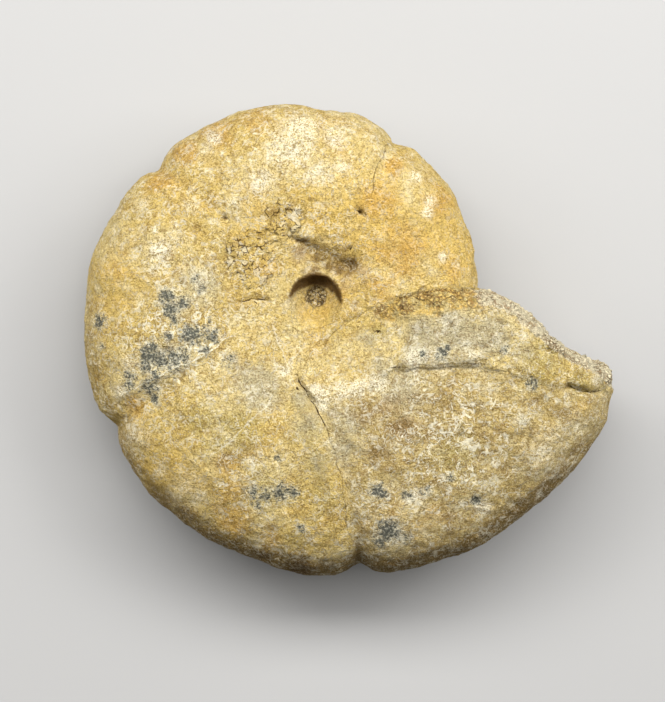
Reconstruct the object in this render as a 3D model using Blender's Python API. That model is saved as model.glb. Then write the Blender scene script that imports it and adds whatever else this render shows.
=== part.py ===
"""Ammonite fossil: the stone filling of a tightly coiled shell, broken off at the end of its last whorl.

Lengths are millimetres until the mesh is written in metres. The shape is worked out in the coil's own frame:
its origin is the umbilicus, +Z is the coiling axis and the whorl grows anticlockwise from +X. A turn is an angle
along the whorl in degrees, so the last whorl runs from 0 to about 346 and covers the start of itself at 0.
"""

import math

import bmesh
import bpy
import numpy as np
from mathutils import Euler, Vector

NAME = "ammonite"
METRES = 0.001

# The coil
START_RADIUS = 31.62  # centre to venter where the last whorl begins
EXPANSION = 2.07  # growth of that radius in one turn
START_HALF_WIDTH = 11.8
END_HALF_WIDTH = 18.0
END_TURN = 346.0
SECTION_POWER = 5.0  # how squarely the flanks turn over into the venter
SECTION_ROOT = 0.5  # the venter is round, so the section meets the median plane as a circle would
HIDDEN_SIDE_WIDTH = 0.95  # the lower flank is a little flatter than the upper one

# The shallow funnel round the umbilicus, and the pit in its middle
FUNNEL_HEIGHT = 10.7  # every whorl's flank comes down to this height at the umbilicus
FUNNEL_SLOPE = 0.06
FUNNEL_INNER_RADIUS = 6.0
FUNNEL_OUTER_RADIUS = 28.0
PIT_CENTRE = (0.1, -0.4)
PIT_FLOOR_RADIUS = 2.5
PIT_RIM_RADIUS = 4.9
PIT_DEPTH = 3.8

# Constrictions: turn at the venter, depth there, depth on the flank, width behind, width ahead, sweep back
CONSTRICTIONS = (
    (63.4, 1.65, 0.3, 4.0, 3.2, 8.0),
    (140.6, 2.05, 0.3, 5.5, 2.8, 28.0),
    (212.6, 1.85, 0.6, 3.8, 3.6, 20.0),
    (279.6, 2.25, 0.15, 3.8, 2.8, 30.0),
)
NOTCH_POWER = 1.6  # below 2, so a notch is sharper at its bottom than a Gaussian
SWEEP_POWER = 2.4
FLANK_FURROW_WIDTH = 1.3  # the furrow is this much wider on the flank than its notch, for its turn
FURROW_INNER_RADIUS = 8.0  # furrows fade out between these radii
FURROW_OUTER_RADIUS = 20.0
SEAM_TURN = 2.0  # below this angle a point of the flank belongs to the end of the last whorl

# The broken mouth, as (radius, angle): the foot of the broken face, and its upper lip
BREAK_FOOT = (
    (7.6, -10.0),
    (10.3, -6.0),
    (15.6, -1.0),
    (21.5, 5.0),
    (26.5, 4.6),
    (31.1, 3.2),
    (32.7, 3.0),
    (35.8, 1.1),
    (39.2, -1.6),
    (43.5, -5.3),
    (46.0, -8.5),
    (49.6, -10.9),
    (54.7, -12.4),
    (58.4, -12.7),
    (59.8, -13.1),
    (60.6, -14.3),
)
BREAK_LIP = (
    (7.6, -60.0),
    (10.5, -34.0),
    (16.7, -16.0),
    (21.6, -12.2),
    (27.0, -8.6),
    (30.9, -5.6),
    (34.8, -4.8),
    (38.3, -7.4),
    (42.1, -10.9),
    (47.8, -13.9),
    (52.8, -15.2),
    (56.5, -16.0),
    (60.6, -17.5),
)
TIP_LOSS = ((337.0, 0.0), (340.0, 1.0), (344.0, 1.9), (346.0, 3.0), (352.0, 3.6))  # turn, venter worn away
BREAK_ROUNDING = 2.2  # the broken face bulges as a superellipse of this power
BREAK_SIDE = (-90.0, 60.0)  # the mouth lies between these angles
OUTLINE_FOOT_RADIUS = 32.0  # beyond it the foot of the broken face is the fossil's outline
LUMPS_FADE_IN = (10.0, 16.0)  # radii between which the broken face gets its lumps
# height, wavelength, direction in degrees, phase
BREAK_LUMPS = (
    (0.34, 6.3, 35.0, 0.6),
    (0.26, 4.7, 110.0, 2.3),
)

# The sunken panel of the upper flank, as (x, y, drop, width of the edge): its edge runs up from the venter to a
# point, then out along the crease to the mouth
PANEL_EDGE = (
    (7.5, -52.0, 0.4, 1.4),
    (6.2, -40.0, 0.45, 1.2),
    (4.4, -31.9, 0.5, 1.0),
    (3.4, -27.0, 0.6, 0.8),
    (1.2, -23.0, 0.9, 0.6),
    (-3.2, -15.6, 0.4, 0.5),
    (-0.8, -18.6, 0.35, 2.2),
    (6.0, -18.3, 0.45, 2.4),
    (11.2, -16.6, 0.6, 1.8),
    (14.8, -13.7, 0.9, 0.8),
    (22.9, -12.9, 1.2, 0.8),
    (31.0, -12.9, 1.1, 0.8),
    (36.0, -13.7, 0.6, 1.2),
    (44.0, -15.8, 0.25, 1.6),
    (49.9, -17.6, 0.6, 0.8),
    (61.5, -18.4, 0.6, 0.8),
)
PANEL_FAR_CORNERS = ((75.0, -18.4), (75.0, -75.0), (7.5, -75.0))
PANEL_RECOVERY = 11.0  # the panel rises back to the flank over this distance

# The trough on the upper flank just above the umbilicus, deepest at its right end: a steep side above and a gentle
# one below, as (x, y, depth, upper width, lower width)
TROUGH = (
    (-5.2, 11.3, 0.3, 0.9, 0.9),
    (-3.4, 10.8, 1.0, 1.0, 2.4),
    (-1.2, 9.2, 1.6, 2.2, 4.0),
    (1.4, 7.8, 2.0, 2.9, 3.6),
    (4.0, 6.8, 2.3, 2.6, 2.8),
    (6.6, 6.1, 2.5, 2.2, 2.0),
)

# Slow unevenness of the worn flanks: height, wavelength, direction in degrees, phase
SWELLS = (
    (0.16, 31.0, 20.0, 0.4),
    (0.13, 23.0, 95.0, 1.9),
    (0.10, 17.0, 150.0, 4.1),
    (0.07, 12.0, 60.0, 2.7),
)
VENTER_SWELLS = ((0.18, 11.0, 0.3), (0.12, 19.0, 1.1))  # height, waves a turn, phase
RELIEF_FADE = 6.0  # relief fades over this height towards the rim, where the surface turns edge-on

# How the fossil lies: its coiling axis leans a little, and the lowest spots of the lower flank are worn flat
LEAN = (-1.15, -3.21)  # degrees about X, then about Y
COIL_CENTRE = (-6.62, 8.24, 14.83)  # where the umbilicus centre is above the resting plane

# Mesh size
COLUMNS = 116
ROWS = 41
PIT_ROWS = (6.2, 4.9, 3.7, 2.5, 0.0)  # radii of the innermost rows, which hold the pit
RAY_SAMPLES = 500
OUTLINE_SAMPLES = 14400
ROW_BLENDING = 4  # columns either way over which the rows are evened out

STONE_COLOUR = (0.62, 0.46, 0.25, 1.0)
STONE_ROUGHNESS = 0.85


def smoothstep(low, high, value):
    t = np.clip((value - low) / (high - low), 0.0, 1.0)
    return t * t * (3.0 - 2.0 * t)


def bell(offset, behind, ahead):
    """1 at offset 0, falling away with one width on the negative side and another on the positive side."""
    width = np.where(offset < 0.0, behind, ahead)
    return np.exp(-(np.abs(offset / width) ** NOTCH_POWER))


def follow(x, y, path):
    """Distance to an open path, whether that is on its left, and the place along it, counted in its points."""
    best = np.full(np.shape(x), np.inf)
    left = np.zeros(np.shape(x), bool)
    place = np.zeros(np.shape(x))
    for index, (start, end) in enumerate(zip(path[:-1], path[1:])):
        dx, dy = end[0] - start[0], end[1] - start[1]
        px, py = x - start[0], y - start[1]
        t = np.clip((px * dx + py * dy) / (dx * dx + dy * dy), 0.0, 1.0)
        distance = np.hypot(px - t * dx, py - t * dy)
        closer = distance < best
        best = np.where(closer, distance, best)
        left = np.where(closer, dx * py - dy * px > 0.0, left)
        place = np.where(closer, index + t, place)
    return best, left, place


def along(path, column, place):
    """One value of a path's points, read between them."""
    return np.interp(place, np.arange(len(path)), [point[column] for point in path])


def inside(x, y, corners):
    """True where (x, y) is inside the polygon."""
    odd = np.zeros(np.shape(x), bool)
    for (ax, ay), (bx, by) in zip(corners, corners[1:] + corners[:1]):
        crosses = (ay > y) != (by > y)
        slope = (bx - ax) / (by - ay if by != ay else 1e-9)
        odd ^= crosses & (x < ax + (y - ay) * slope)
    return odd


def half_width(turn):
    return START_HALF_WIDTH * (END_HALF_WIDTH / START_HALF_WIDTH) ** (turn / END_TURN)


def venter_radius(turn):
    """Centre to venter: the growth spiral, less the constrictions' notches and the loss at the mouth."""
    radius = START_RADIUS * EXPANSION ** (turn / 360.0)
    for at, depth, _, behind, ahead, _ in CONSTRICTIONS:
        radius = radius - depth * bell(turn - at, behind, ahead)
    for height, waves, phase in VENTER_SWELLS:
        radius = radius + height * np.sin(np.radians(turn) * waves + phase)
    turns, losses = zip(*TIP_LOSS)
    return radius - np.interp(turn, turns, losses)


def sheet(radius, turn):
    """Height of a whorl's flank over the median plane."""
    section = np.clip(1.0 - (radius / venter_radius(turn)) ** SECTION_POWER, 0.0, 1.0) ** SECTION_ROOT
    funnel = FUNNEL_HEIGHT + FUNNEL_SLOPE * radius
    flank = smoothstep(FUNNEL_INNER_RADIUS, FUNNEL_OUTER_RADIUS, radius)
    return (funnel + (half_width(turn) - funnel) * flank) * section


def break_angle(line, radius):
    radii, angles = zip(*line)
    return np.interp(radius, radii, angles)


def outline_radius(angle):
    """Radius of the whole outline at an angle from -180 to 180 degrees."""
    foot = [point for point in BREAK_FOOT if point[0] > OUTLINE_FOOT_RADIUS]
    radii, angles = zip(*reversed(foot))
    broken = np.interp(angle, angles, radii)
    grown = venter_radius(np.where(angle < angles[-1], angle + 360.0, angle))
    return np.where((angle > angles[0]) & (angle < angles[-1]), broken, grown)


def break_climb(radius, angle):
    """How far up the broken face a point is: 0 at its foot and beyond, 1 at its lip and on the last whorl."""
    foot, lip = break_angle(BREAK_FOOT, radius), break_angle(BREAK_LIP, radius)
    return np.clip((foot - angle) / (foot - lip), 0.0, 1.0)


def body_height(radius, angle):
    """Height of the bare coil: the last whorl, the whorl under it, and the broken face between them."""
    face = (1.0 - (1.0 - break_climb(radius, angle)) ** BREAK_ROUNDING) ** (1.0 / BREAK_ROUNDING)
    under = sheet(radius, angle)
    last = sheet(radius, np.where(angle < BREAK_SIDE[1], angle + 360.0, angle))
    broken = (angle > BREAK_SIDE[0]) & (angle < BREAK_SIDE[1])
    return np.where(broken, under + (last - under) * face, last)


def furrows(radius, angle):
    """Depth of the constrictions on the flank."""
    turn = np.where(angle < SEAM_TURN, angle + 360.0, angle)
    share = np.clip(radius / venter_radius(turn), 0.0, 1.0)
    depth = np.zeros(np.shape(radius))
    for at, _, on_flank, behind, ahead, sweep in CONSTRICTIONS:
        line = at - sweep * (1.0 - share) ** SWEEP_POWER
        cut = bell(turn - line, behind * FLANK_FURROW_WIDTH, ahead * FLANK_FURROW_WIDTH)
        depth = np.maximum(depth, on_flank * cut)
    return depth * smoothstep(FURROW_INNER_RADIUS, FURROW_OUTER_RADIUS, radius)


def pit(x, y):
    reach = np.hypot(x - PIT_CENTRE[0], y - PIT_CENTRE[1])
    return PIT_DEPTH * (1.0 - smoothstep(PIT_FLOOR_RADIUS, PIT_RIM_RADIUS, reach))


def panel(x, y):
    """Drop of the sunken panel: sharp at its edge, easing off inwards."""
    depth, _, place = follow(x, y, PANEL_EDGE)
    edge = smoothstep(0.0, along(PANEL_EDGE, 3, place), depth) * along(PANEL_EDGE, 2, place)
    corners = tuple(point[:2] for point in PANEL_EDGE) + PANEL_FAR_CORNERS
    return edge * np.exp(-depth / PANEL_RECOVERY) * inside(x, y, corners)


def trough(x, y):
    distance, left, place = follow(x, y, TROUGH)
    width = np.where(left, along(TROUGH, 3, place), along(TROUGH, 4, place))
    return along(TROUGH, 2, place) * np.exp(-((distance / width) ** 2))


def waves(x, y, kinds, side):
    """A sum of plane waves, with other phases on the lower side."""
    total = np.zeros(np.shape(x))
    for height, wavelength, direction, phase in kinds:
        across = x * math.cos(math.radians(direction)) + y * math.sin(math.radians(direction))
        total += height * np.sin(2.0 * math.pi * across / wavelength + phase + side)
    return total


def break_lumps(x, y, radius, angle, side):
    """Lumps of the broken face, highest half way up it."""
    climb = break_climb(radius, angle)
    on_face = 4.0 * climb * (1.0 - climb) * (angle > BREAK_SIDE[0]) * (angle < BREAK_SIDE[1])
    return waves(x, y, BREAK_LUMPS, side) * on_face * smoothstep(*LUMPS_FADE_IN, radius)


def surface_height(radius, angle, side):
    """Signed height of the surface: side 1 is the upper flank and -1 the lower."""
    x, y = radius * np.cos(np.radians(angle)), radius * np.sin(np.radians(angle))
    body = body_height(radius, angle)
    relief = waves(x, y, SWELLS, side) + break_lumps(x, y, radius, angle, side)
    relief = relief - furrows(radius, angle) - pit(x, y)
    if side > 0:
        relief = relief - panel(x, y) - trough(x, y)
    thickness = body * (1.0 if side > 0 else HIDDEN_SIDE_WIDTH)
    return side * (thickness + relief * smoothstep(0.0, RELIEF_FADE, body))


def outline_columns():
    """Angles of the mesh's columns, evenly spaced along the outline. The first repeats as the last."""
    angle = np.linspace(-180.0, 180.0, OUTLINE_SAMPLES + 1)
    radius = outline_radius(angle)
    x, y = radius * np.cos(np.radians(angle)), radius * np.sin(np.radians(angle))
    length = np.concatenate(([0.0], np.cumsum(np.hypot(np.diff(x), np.diff(y)))))
    return np.interp(np.linspace(0.0, length[-1], COLUMNS + 1), length, angle)


def row_shares(angle):
    """Where a column's rows lie between the pit, 0, and the rim, 1: evenly spaced along its profile."""
    share = np.cos(np.linspace(0.0, math.pi / 2.0, RAY_SAMPLES))
    radius = PIT_ROWS[0] + (outline_radius(np.float64(angle)) - PIT_ROWS[0]) * share
    height = body_height(radius, np.full(RAY_SAMPLES, angle))
    length = np.concatenate(([0.0], np.cumsum(np.hypot(np.diff(radius), np.diff(height)))))
    return np.interp(np.linspace(0.0, length[-1], (ROWS + 1) // 2 + 2 - len(PIT_ROWS)), length, share)


def row_radii(columns):
    """Radius of every row, from rim to centre, in every column."""
    shares = np.array([row_shares(angle) for angle in columns[:-1]])
    even = sum(np.roll(shares, step, axis=0) for step in range(-ROW_BLENDING, ROW_BLENDING + 1))
    even /= 2 * ROW_BLENDING + 1
    rim = outline_radius(columns[:-1])[:, None]
    centre = np.tile(PIT_ROWS[1:], (len(even), 1))
    return np.hstack((PIT_ROWS[0] + (rim - PIT_ROWS[0]) * even, centre))


def shape_fossil(mesh):
    """Moves a unit sphere's points onto the fossil: its equator becomes the outline, its poles the umbilici."""
    columns = outline_columns()
    rows = row_radii(columns)
    lean = Euler((math.radians(LEAN[0]), math.radians(LEAN[1]), 0.0)).to_matrix()
    for vertex in mesh.verts:
        longitude = math.atan2(vertex.co.y, vertex.co.x) / math.pi
        column = round((longitude + 1.0) / 2.0 * COLUMNS) % COLUMNS
        latitude = math.asin(max(-1.0, min(1.0, vertex.co.z))) / (math.pi / 2.0)
        row = round(abs(latitude) * (ROWS + 1) / 2)
        radius, angle = rows[column, row], columns[column]
        side = 1.0 if latitude > 0.0 else -1.0
        height = 0.0 if row == 0 else float(surface_height(radius, angle, side))
        around = math.radians(angle)
        spot = Vector((radius * math.cos(around), radius * math.sin(around), height))
        spot = lean @ spot + Vector(COIL_CENTRE)
        spot.z = max(spot.z, 0.0)
        vertex.co = spot * METRES


def stone_material():
    material = bpy.data.materials.new("stone")
    material.use_nodes = True
    shader = material.node_tree.nodes["Principled BSDF"]
    shader.inputs["Base Color"].default_value = STONE_COLOUR
    shader.inputs["Roughness"].default_value = STONE_ROUGHNESS
    material.diffuse_color = STONE_COLOUR
    return material


def build_fossil(collection):
    shape = bmesh.new()
    bmesh.ops.create_uvsphere(shape, u_segments=COLUMNS, v_segments=ROWS + 1, radius=1.0)
    shape_fossil(shape)
    mesh = bpy.data.meshes.new(NAME)
    shape.to_mesh(mesh)
    shape.free()
    mesh.materials.append(stone_material())
    mesh.shade_smooth()
    collection.objects.link(bpy.data.objects.new(NAME, mesh))


def main():
    for old in list(bpy.data.objects):
        bpy.data.objects.remove(old, do_unlink=True)
    collection = bpy.data.collections.new("ammonite fossil")
    bpy.context.scene.collection.children.link(collection)
    build_fossil(collection)


main()
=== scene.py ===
"""Looks of the ammonite fossil: its stone skin with fine relief and colour, and the floor, light and camera.

Lengths are millimetres until a mesh, a light or the camera is written in metres. The skin is worked out in
the coil's own frame, as the solid is: its origin is the umbilicus, +Z is the coiling axis and the whorl grows
anticlockwise from +X. A turn is an angle along the whorl in degrees: the last whorl runs from 0 to about 346.
"""

import math
import random

import bpy
import numpy as np
from mathutils import Euler, Matrix, Vector, noise


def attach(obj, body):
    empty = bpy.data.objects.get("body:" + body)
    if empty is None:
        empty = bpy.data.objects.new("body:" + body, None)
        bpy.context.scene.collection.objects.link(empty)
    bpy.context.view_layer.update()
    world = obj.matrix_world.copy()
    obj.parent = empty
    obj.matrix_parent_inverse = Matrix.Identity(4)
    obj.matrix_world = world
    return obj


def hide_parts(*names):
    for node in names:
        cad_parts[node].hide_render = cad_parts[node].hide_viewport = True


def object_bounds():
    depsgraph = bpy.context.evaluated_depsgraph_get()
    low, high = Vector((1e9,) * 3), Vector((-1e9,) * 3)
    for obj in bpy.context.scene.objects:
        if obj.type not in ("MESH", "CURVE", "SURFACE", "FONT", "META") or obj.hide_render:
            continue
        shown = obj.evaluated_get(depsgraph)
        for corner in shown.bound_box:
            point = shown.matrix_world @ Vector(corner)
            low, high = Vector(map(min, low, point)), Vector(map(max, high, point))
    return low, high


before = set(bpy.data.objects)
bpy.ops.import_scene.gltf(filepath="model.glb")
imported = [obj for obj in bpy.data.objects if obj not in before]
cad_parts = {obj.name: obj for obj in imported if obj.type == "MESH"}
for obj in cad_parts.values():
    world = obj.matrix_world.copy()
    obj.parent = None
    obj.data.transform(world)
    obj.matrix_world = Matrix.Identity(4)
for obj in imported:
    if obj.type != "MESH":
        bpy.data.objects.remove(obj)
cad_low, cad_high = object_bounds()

METRES = 0.001
TWO_PI = 2.0 * math.pi

# ---- The shape of the solid, repeated from the part

# The coil
START_RADIUS = 31.62  # centre to venter where the last whorl begins
EXPANSION = 2.07  # growth of that radius in one turn
START_HALF_WIDTH = 11.8
END_HALF_WIDTH = 18.0
END_TURN = 346.0
SECTION_POWER = 5.0  # how squarely the flanks turn over into the venter
SECTION_ROOT = 0.5  # the venter is round, so the section meets the median plane as a circle would
HIDDEN_SIDE_WIDTH = 0.95  # the lower flank is a little flatter than the upper one

# The shallow funnel round the umbilicus, and the pit in its middle
FUNNEL_HEIGHT = 10.7  # every whorl's flank comes down to this height at the umbilicus
FUNNEL_SLOPE = 0.06
FUNNEL_INNER_RADIUS = 6.0
FUNNEL_OUTER_RADIUS = 28.0
PIT_CENTRE = (0.1, -0.4)
PIT_FLOOR_RADIUS = 2.5
PIT_RIM_RADIUS = 4.9
PIT_DEPTH = 3.8

# Constrictions: turn at the venter, depth there, depth on the flank, width behind, width ahead, sweep back
CONSTRICTIONS = (
    (63.4, 1.65, 0.3, 4.0, 3.2, 8.0),
    (140.6, 2.05, 0.3, 5.5, 2.8, 28.0),
    (212.6, 1.85, 0.6, 3.8, 3.6, 20.0),
    (279.6, 2.25, 0.15, 3.8, 2.8, 30.0),
)
NOTCH_POWER = 1.6  # below 2, so a notch is sharper at its bottom than a Gaussian
SWEEP_POWER = 2.4
FLANK_FURROW_WIDTH = 1.3  # the furrow is this much wider on the flank than its notch, for its turn
FURROW_INNER_RADIUS = 8.0  # furrows fade out between these radii
FURROW_OUTER_RADIUS = 20.0
SEAM_TURN = 2.0  # below this angle a point of the flank belongs to the end of the last whorl

# The broken mouth, as (radius, angle): the foot of the broken face, and its upper lip
BREAK_FOOT = (
    (7.6, -10.0),
    (10.3, -6.0),
    (15.6, -1.0),
    (21.5, 5.0),
    (26.5, 4.6),
    (31.1, 3.2),
    (32.7, 3.0),
    (35.8, 1.1),
    (39.2, -1.6),
    (43.5, -5.3),
    (46.0, -8.5),
    (49.6, -10.9),
    (54.7, -12.4),
    (58.4, -12.7),
    (59.8, -13.1),
    (60.6, -14.3),
)
BREAK_LIP = (
    (7.6, -60.0),
    (10.5, -34.0),
    (16.7, -16.0),
    (21.6, -12.2),
    (27.0, -8.6),
    (30.9, -5.6),
    (34.8, -4.8),
    (38.3, -7.4),
    (42.1, -10.9),
    (47.8, -13.9),
    (52.8, -15.2),
    (56.5, -16.0),
    (60.6, -17.5),
)
# Turn, how much of the venter is worn away
TIP_LOSS = ((337.0, 0.0), (340.0, 1.0), (344.0, 1.9), (346.0, 3.0), (352.0, 3.6))
BREAK_ROUNDING = 2.2  # the broken face bulges as a superellipse of this power
BREAK_SIDE = (-90.0, 60.0)  # the mouth lies between these angles
OUTLINE_FOOT_RADIUS = 32.0  # beyond it the foot of the broken face is the fossil's outline
LUMPS_FADE_IN = (10.0, 16.0)  # radii between which the broken face gets its lumps
# height, wavelength, direction in degrees, phase
BREAK_LUMPS = (
    (0.34, 6.3, 35.0, 0.6),
    (0.26, 4.7, 110.0, 2.3),
)

# The sunken panel of the upper flank, as (x, y, drop, width of the edge): its edge runs up from the venter to
# a point, then out along the crease to the mouth
PANEL_EDGE = (
    (7.5, -52.0, 0.4, 1.4),
    (6.2, -40.0, 0.45, 1.2),
    (4.4, -31.9, 0.5, 1.0),
    (3.4, -27.0, 0.6, 0.8),
    (1.2, -23.0, 0.9, 0.6),
    (-3.2, -15.6, 0.4, 0.5),
    (-0.8, -18.6, 0.35, 2.2),
    (6.0, -18.3, 0.45, 2.4),
    (11.2, -16.6, 0.6, 1.8),
    (14.8, -13.7, 0.9, 0.8),
    (22.9, -12.9, 1.2, 0.8),
    (31.0, -12.9, 1.1, 0.8),
    (36.0, -13.7, 0.6, 1.2),
    (44.0, -15.8, 0.25, 1.6),
    (49.9, -17.6, 0.6, 0.8),
    (61.5, -18.4, 0.6, 0.8),
)
PANEL_FAR_CORNERS = ((75.0, -18.4), (75.0, -75.0), (7.5, -75.0))
PANEL_OUTLINE = tuple(point[:2] for point in PANEL_EDGE) + PANEL_FAR_CORNERS
PANEL_RECOVERY = 11.0  # the panel rises back to the flank over this distance

# The trough on the upper flank just above the umbilicus, deepest at its right end: a steep side above and a
# gentle one below, as (x, y, depth, upper width, lower width)
TROUGH = (
    (-5.2, 11.3, 0.3, 0.9, 0.9),
    (-3.4, 10.8, 1.0, 1.0, 2.4),
    (-1.2, 9.2, 1.6, 2.2, 4.0),
    (1.4, 7.8, 2.0, 2.9, 3.6),
    (4.0, 6.8, 2.3, 2.6, 2.8),
    (6.6, 6.1, 2.5, 2.2, 2.0),
)

# Slow unevenness of the worn flanks: height, wavelength, direction in degrees, phase
SWELLS = (
    (0.16, 31.0, 20.0, 0.4),
    (0.13, 23.0, 95.0, 1.9),
    (0.10, 17.0, 150.0, 4.1),
    (0.07, 12.0, 60.0, 2.7),
)
VENTER_SWELLS = ((0.18, 11.0, 0.3), (0.12, 19.0, 1.1))  # height, waves a turn, phase
RELIEF_FADE = 6.0  # relief fades over this height towards the rim, where the surface turns edge-on

# How the fossil lies: its coiling axis leans a little, and the lowest spots of the lower flank are worn flat
LEAN = (-1.15, -3.21)  # degrees about X, then about Y
COIL_CENTRE = (-6.62, 8.24, 14.83)  # where the umbilicus centre is above the resting plane

# ---- Fine relief of the upper flank

# The pit's floor is a sharper hole of its own
HOLE_CENTRE = (0.25, 0.3)
HOLE_DEPTH = 1.0
HOLE_EDGE = (1.8, 2.3)
# Its wall starts with a steep step, deepest on its upper side, and its lower side reaches further out
WALL_DEPTH = 1.5
WALL_LEAN = 1.1
WALL_WIDTH = 0.7
PIT_STRETCH = 1.1
LEAST_REACH = 0.1
# Painted shade lies under its upper rim, where the rim's shadow falls: outside a circle round a lower centre,
# and inside the rim
PIT_SHADE_CENTRE = (-0.2, -3.0)
PIT_SHADE_EDGE = (5.0, 5.9)
PIT_SHADE_RIM = (4.7, 5.6)
PIT_SURROUNDS = 12.0  # nothing of the pit reaches beyond this radius

# Paths of relief and of markings
NICK = ((-14.8, -1.1), (-13.4, -0.6), (-11.9, 0.0), (-10.6, -0.6), (-9.2, -0.9))
FLAKE_EDGE = (
    (14.4, 30.4), (13.6, 29.6), (13.2, 27.9), (12.6, 26.1), (11.4, 24.0), (11.2, 21.5), (10.9, 20.3),
)
PALE_RIDGE = ((-8.6, -4.4), (-7.5, -7.5), (-6.1, -10.6), (-5.2, -14.4))

# Depth (a ridge is negative), width, path
GROOVES = (
    (0.80, 0.55, NICK),
    (0.45, 0.50, ((1.2, -10.4), (2.3, -8.3), (4.0, -6.6), (5.8, -5.0), (7.2, -4.4), (10.3, -2.5))),
    (0.45, 0.50, ((7.9, 16.9), (8.9, 16.6), (10.0, 15.8))),
    (1.10, 0.60, ((48.5, -17.3), (50.0, -17.7), (52.9, -18.1), (56.2, -18.3))),
    (1.05, 0.50, ((-3.4, -15.2), (-0.9, -19.4), (1.2, -23.0))),
    (0.40, 0.55, ((-4.4, 11.4), (-3.4, 10.9), (-2.4, 10.8))),
    (0.30, 0.50, ((2.4, 5.4), (3.4, 5.0), (4.6, 4.6))),
    (0.30, 0.55, ((-2.9, -5.6), (-0.6, -6.4), (1.9, -6.0))),
    (0.35, 0.60, ((15.0, -13.9), (18.5, -13.3), (23.0, -13.0), (29.0, -12.9), (33.0, -13.2))),
    (-0.45, 0.90, ((-37.4, -18.8), (-33.6, -17.1), (-27.9, -14.2), (-21.1, -11.0), (-13.4, -6.0))),
    (-0.25, 0.70, PALE_RIDGE),
    (-0.35, 0.80, ((27.0, -5.4), (29.8, -4.6), (32.7, -3.8), (35.6, -3.4))),
    (-0.45, 0.90, ((49.1, -13.4), (52.0, -14.2), (54.9, -15.0), (56.6, -16.2))),
    (-0.80, 1.60, ((50.2, -15.8), (52.8, -16.2))),
    (-0.35, 1.00, ((38.0, -12.6), (41.5, -14.2), (45.0, -15.6))),
    (-0.45, 1.30, ((16.8, -12.2), (19.5, -11.2), (24.0, -11.2), (30.0, -11.4))),
    (-0.50, 1.70, ((-4.0, -17.4), (-2.2, -20.6), (-0.2, -24.6), (1.4, -29.5), (2.6, -36.0), (4.2, -43.0))),
    (0.35, 1.60, ((-9.2, -17.0), (-8.2, -21.5), (-7.4, -27.0))),
)
# Height gained across the path from its right side to its left, recovery width, path
STEPS = (
    (-0.30, 3.0, ((-31.5, 24.6), (-27.0, 21.2), (-22.0, 17.6), (-17.5, 14.5))),
    (0.35, 2.5, FLAKE_EDGE),
)
STEP_WIDTH = 0.6
# x, y, radius, depth
PITS = (
    (-17.3, 15.2, 0.5, 0.8), (-4.6, 27.1, 0.9, 0.6), (-6.1, 26.9, 0.5, 0.4), (-2.9, 16, 0.8, 0.9),
    (8.6, 16.6, 0.5, 0.8), (9.7, 16, 0.5, 0.5), (27.9, -26.5, 0.8, 1.2), (31, -39.2, 0.9, 0.7),
    (6.8, 9.6, 0.6, 0.9), (21.2, 16.4, 0.6, 0.3), (20.6, -10.8, 0.6, 0.4), (24.1, -10.8, 0.8, 0.4),
    (44.3, -9.6, 0.7, 0.5), (-31, -17, 0.7, 0.4),
)
SCALE_SIZE = 1.4

# Relief along the surface's normal: height, feature size
FLANK_RELIEF = ((0.30, 5.0), (0.17, 2.2), (0.08, 0.95))
CRUST_RELIEF = ((0.60, 4.2), (0.35, 1.9))
CRUST_GRAIN_SIZE = 1.40
CRUST_GRAIN_HEIGHT = 0.60
GRAIN_STEEPNESS = 1.6

# The crust is the rough broken stone: where it starts and ends on the climb up the broken face, how far and
# in what size of lumps its end is ragged, and the radii over which it fades in
CRUST_FOOT = (0.0, 0.06)
CRUST_LIP = (0.62, 1.0)
CRUST_RAGGED = 0.16
CRUST_RAGGED_SIZE = 3.0
CRUST_RADII = (9.0, 14.0)
# The rind is where the broken face turns over into the fossil's outline
RIND_RADII = (29.0, 34.0)
RIND_CLIMB = (0.45, 1.0)

# Seeds of the noises, and how far apart they start for each seed
RAGGED_SEED = 3
FLANK_SEED = 11
GRAIN_SEED = 21
CRUST_SEED = 31
LUMP_SHIFT = (37.1, 11.7, 5.3)
GRAIN_SHIFT = (17.9, 3.1, 23.3)
LUMP_ROUGHNESS = 0.9
LUMP_OCTAVES = 3

# ---- Markings of the upper flank: x, y, radius, strength

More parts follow.
